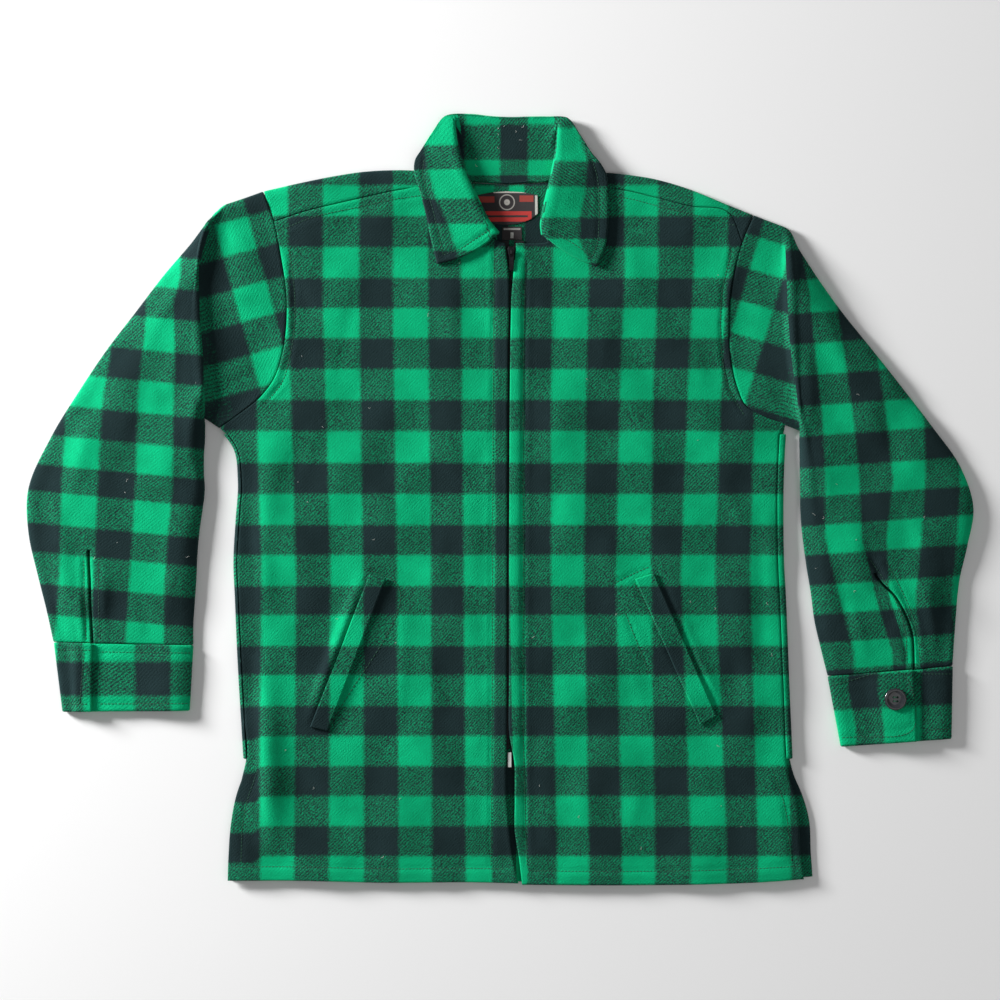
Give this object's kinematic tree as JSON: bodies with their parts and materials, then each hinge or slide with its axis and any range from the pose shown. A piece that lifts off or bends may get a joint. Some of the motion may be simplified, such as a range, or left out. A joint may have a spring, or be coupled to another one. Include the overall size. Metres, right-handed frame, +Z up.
{
  "type": "zip-front shirt-jacket",
  "caption": "Wool check shirt-jacket laid flat, zip front, turned-down collar, slanted welt pockets and lapped cuffs.",
  "frame": {"origin": "middle of the laid-out garment's outline, on the surface that it rests on", "axes": "+Z up from the surface, +Y from the hem to the collar, +X to the right of someone who looks down at the front"},
  "size_m": [1.0062, 0.8201, 0.0167],
  "materials": {
    "wool_check": "napped wool twill, green and black buffalo check",
    "zip_tape_cloth": "woven tape",
    "zip_black_metal": "satin black",
    "zip_pale_metal": "dull",
    "button_horn": "polished",
    "label_cloth": "woven"
  },
  "bodies": {
    "coat": {"back": "wool_check", "front_left": "wool_check", "front_right": "wool_check", "sleeve_left": "wool_check", "sleeve_right": "wool_check", "cuff_left": "wool_check", "cuff_right": "wool_check", "collar": "wool_check", "pocket_welt_left": "wool_check", "pocket_welt_right": "wool_check", "zip_tape_left": "zip_tape_cloth", "zip_tape_right": "zip_tape_cloth", "zip_chain": "zip_black_metal", "zip_slider": "zip_black_metal", "zip_box": "zip_pale_metal", "cuff_button": "button_horn", "neck_label": "label_cloth", "size_tab": "label_cloth"},
    "zip_pull_tab": {"zip_pull": "zip_black_metal"}
  },
  "joints": [
    {"name": "pull_tab_hinge", "type": "hinge", "parent": "coat", "child": "zip_pull_tab", "pos_m": [0.01158, 0.26292, 0.0102], "axis": [-1, 0, 0], "range_deg": [0, 150]}
  ]
}
